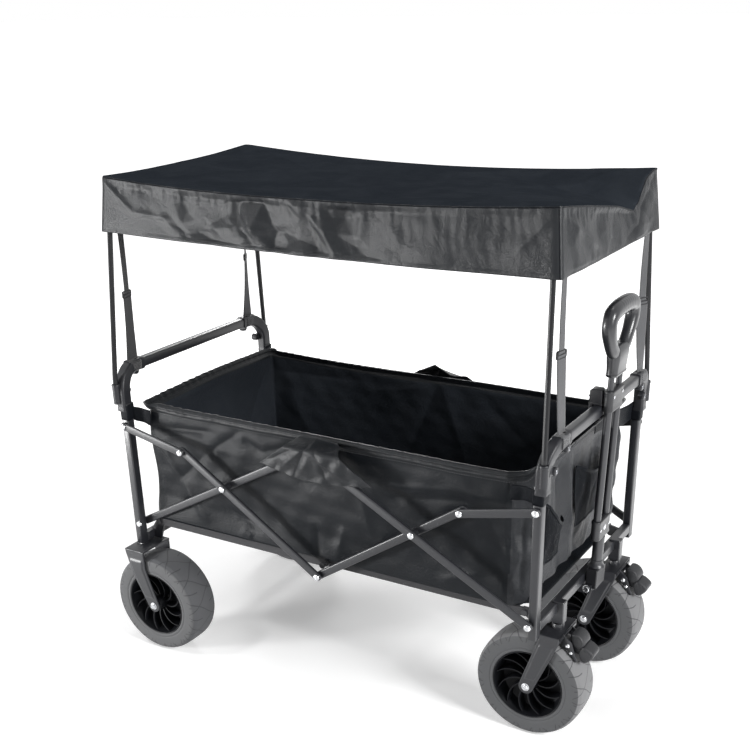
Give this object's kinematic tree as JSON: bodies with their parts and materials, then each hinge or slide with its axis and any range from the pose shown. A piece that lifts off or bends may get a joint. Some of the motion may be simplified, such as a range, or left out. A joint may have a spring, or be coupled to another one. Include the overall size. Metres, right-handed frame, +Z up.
{
  "type": "folding camping cart",
  "caption": "Folding cloth-sided camping cart on wide wheels, with swivel front casters, a telescoping pull handle and a lift-off canopy on poles.",
  "frame": {"origin": "centre of the cart's outline at floor level, where the wheels stand", "axes": "+Z up, +X towards the pull handle, +Y to the far side"},
  "size_m": [1.0256, 0.563, 0.968],
  "materials": {
    "powder_coat": "satin dark grey powder coat",
    "black_plastic": "matte moulded plastic",
    "grip_plastic": "glossy moulded plastic",
    "chrome_bolt": "bright plated",
    "tyre_rubber": "mid grey moulded tyre",
    "hub_plastic": "glossy black",
    "cloth": "woven polyester, wrinkled",
    "board": "cloth-covered board"
  },
  "bodies": {
    "rear_frame": {"rear_post_near": "powder_coat", "rear_post_far": "powder_coat", "rear_elbow_near": "black_plastic", "rear_elbow_far": "black_plastic", "rear_fork_near": "powder_coat", "rear_fork_far": "powder_coat", "rear_axle_bolt_near": "chrome_bolt", "rear_axle_bolt_far": "chrome_bolt", "rear_push_rail": "powder_coat", "rear_cross_tube": "powder_coat", "basket": "cloth"},
    "canopy_frame": {"canopy": "cloth", "canopy_pole_rear_near": "powder_coat", "canopy_pole_rear_far": "powder_coat"},
    "canopy_front_poles": {"canopy_pole_front_near": "powder_coat", "canopy_pole_front_far": "powder_coat"},
    "rear_wheel_near": {"rear_near_tyre": "tyre_rubber", "rear_near_hub": "hub_plastic"},
    "rear_wheel_far": {"rear_far_tyre": "tyre_rubber", "rear_far_hub": "hub_plastic"},
    "long_bars_rear": {"long_bar_rear_near": "powder_coat", "long_bar_rear_far": "powder_coat"},
    "long_bars_front": {"long_bar_front_near": "powder_coat", "long_bar_front_far": "powder_coat"},
    "hangers_rear": {"hanger_rear_near": "powder_coat", "hanger_rear_far": "powder_coat"},
    "hangers_front": {"hanger_front_near": "powder_coat", "hanger_front_far": "powder_coat"},
    "links_rear": {"link_rear_near": "powder_coat", "link_rear_far": "powder_coat"},
    "links_front": {"link_front_near": "powder_coat", "link_front_far": "powder_coat"},
    "base_half_rear": {"base_rear": "board"},
    "base_half_front": {"base_front": "board"},
    "front_frame": {"front_post_near": "powder_coat", "front_post_far": "powder_coat", "front_elbow_near": "black_plastic", "front_elbow_far": "black_plastic", "front_push_rail": "powder_coat", "front_cross_frame": "powder_coat", "handle_bracket": "powder_coat", "rail_clip": "black_plastic"},
    "caster_near": {"caster_fork_near": "powder_coat", "caster_axle_bolt_near": "chrome_bolt"},
    "caster_far": {"caster_fork_far": "powder_coat", "caster_axle_bolt_far": "chrome_bolt"},
    "front_wheel_near": {"front_near_tyre": "tyre_rubber", "front_near_hub": "hub_plastic"},
    "front_wheel_far": {"front_far_tyre": "tyre_rubber", "front_far_hub": "hub_plastic"},
    "brake_near": {"brake_pedal_near": "black_plastic"},
    "brake_far": {"brake_pedal_far": "black_plastic"},
    "handle": {"handle_foot": "black_plastic", "handle_lower_tube": "powder_coat", "handle_lower_clamp": "black_plastic", "handle_tube_near": "powder_coat", "handle_tube_far": "powder_coat", "handle_upper_clamp": "black_plastic"},
    "handle_slide": {"handle_collar": "grip_plastic", "handle_grip": "grip_plastic"}
  },
  "joints": [
    {"name": "fold_hinge", "type": "hinge", "parent": "rear_frame", "child": "long_bars_rear", "pos_m": [-0.45175, 0, 0.271], "axis": [0, -1, 0], "range_deg": [0, 39], "deforming": ["basket", "canopy"]},
    {"name": "top_middle_hinge", "type": "hinge", "parent": "long_bars_rear", "child": "long_bars_front", "pos_m": [-0.01375, 0, 0.508], "axis": [0, -1, 0], "range_deg": [-78, 0]},
    {"name": "front_frame_hinge", "type": "hinge", "parent": "long_bars_front", "child": "front_frame", "pos_m": [0.42425, 0, 0.271], "axis": [0, -1, 0], "range_deg": [0, 39]},
    {"name": "rear_crossing_hinge", "type": "hinge", "parent": "long_bars_rear", "child": "hangers_rear", "pos_m": [-0.22475, 0, 0.39383], "axis": [0, -1, 0], "range_deg": [-74.26, 0]},
    {"name": "front_crossing_hinge", "type": "hinge", "parent": "long_bars_front", "child": "hangers_front", "pos_m": [0.19725, 0, 0.39383], "axis": [0, -1, 0], "range_deg": [0, 74.26]},
    {"name": "rear_link_hinge", "type": "hinge", "parent": "rear_frame", "child": "links_rear", "pos_m": [-0.45675, 0, 0.485], "axis": [0, -1, 0], "range_deg": [0, 75.74]},
    {"name": "front_link_hinge", "type": "hinge", "parent": "front_frame", "child": "links_front", "pos_m": [0.42925, 0, 0.485], "axis": [0, -1, 0], "range_deg": [-75.74, 0]},
    {"name": "rear_base_hinge", "type": "hinge", "parent": "rear_frame", "child": "base_half_rear", "pos_m": [-0.42575, 0, 0.271], "axis": [0, -1, 0], "range_deg": [0, 68.25]},
    {"name": "front_base_hinge", "type": "hinge", "parent": "front_frame", "child": "base_half_front", "pos_m": [0.39825, 0, 0.271], "axis": [0, -1, 0], "range_deg": [-68.25, 0]},
    {"name": "rear_wheel_spin_near", "type": "hinge", "parent": "rear_frame", "child": "rear_wheel_near", "pos_m": [-0.40775, -0.2346, 0.105], "axis": [0, 1, 0], "continuous": true},
    {"name": "caster_swivel_near", "type": "hinge", "parent": "front_frame", "child": "caster_near", "pos_m": [0.43775, -0.143, 0.222], "axis": [0, 0, 1], "continuous": true},
    {"name": "front_wheel_spin_near", "type": "hinge", "parent": "caster_near", "child": "front_wheel_near", "pos_m": [0.39675, -0.143, 0.105], "axis": [0, 1, 0], "continuous": true},
    {"name": "brake_hinge_near", "type": "hinge", "parent": "caster_near", "child": "brake_near", "pos_m": [0.46525, -0.143, 0.201], "axis": [0, 1, 0], "range_deg": [0, 15]},
    {"name": "rear_wheel_spin_far", "type": "hinge", "parent": "rear_frame", "child": "rear_wheel_far", "pos_m": [-0.40775, 0.2346, 0.105], "axis": [0, 1, 0], "continuous": true},
    {"name": "caster_swivel_far", "type": "hinge", "parent": "front_frame", "child": "caster_far", "pos_m": [0.43775, 0.143, 0.222], "axis": [0, 0, 1], "continuous": true},
    {"name": "front_wheel_spin_far", "type": "hinge", "parent": "caster_far", "child": "front_wheel_far", "pos_m": [0.39675, 0.143, 0.105], "axis": [0, 1, 0], "continuous": true},
    {"name": "brake_hinge_far", "type": "hinge", "parent": "caster_far", "child": "brake_far", "pos_m": [0.46525, 0.143, 0.201], "axis": [0, 1, 0], "range_deg": [0, 15]},
    {"name": "handle_hinge", "type": "hinge", "parent": "front_frame", "child": "handle", "pos_m": [0.44375, 0, 0.245], "axis": [0, 1, 0], "range_deg": [0, 100]},
    {"name": "handle_telescope", "type": "slide", "parent": "handle", "child": "handle_slide", "axis": [0.0297, 0, 0.9996], "range_m": [0, 0.16]},
    {"name": "canopy_lift", "type": "slide", "parent": "rear_frame", "child": "canopy_frame", "axis": [0, 0, 1], "range_m": [0, 0.12]},
    {"name": "canopy_lift_front", "type": "slide", "parent": "front_frame", "child": "canopy_front_poles", "axis": [0, 0, 1], "range_m": [0, 0.12]}
  ],
  "couplings": [
    {"joint": "top_middle_hinge", "follows": "fold_hinge", "ratio": -2},
    {"joint": "front_frame_hinge", "follows": "fold_hinge", "ratio": 1},
    {"joint": "rear_crossing_hinge", "follows": "fold_hinge", "ratio": -1.904},
    {"joint": "front_crossing_hinge", "follows": "fold_hinge", "ratio": 1.904},
    {"joint": "rear_link_hinge", "follows": "fold_hinge", "ratio": 1.942},
    {"joint": "front_link_hinge", "follows": "fold_hinge", "ratio": -1.942},
    {"joint": "rear_base_hinge", "follows": "fold_hinge", "ratio": 1.75},
    {"joint": "front_base_hinge", "follows": "fold_hinge", "ratio": -1.75},
    {"joint": "canopy_lift_front", "follows": "canopy_lift", "ratio": 1}
  ]
}
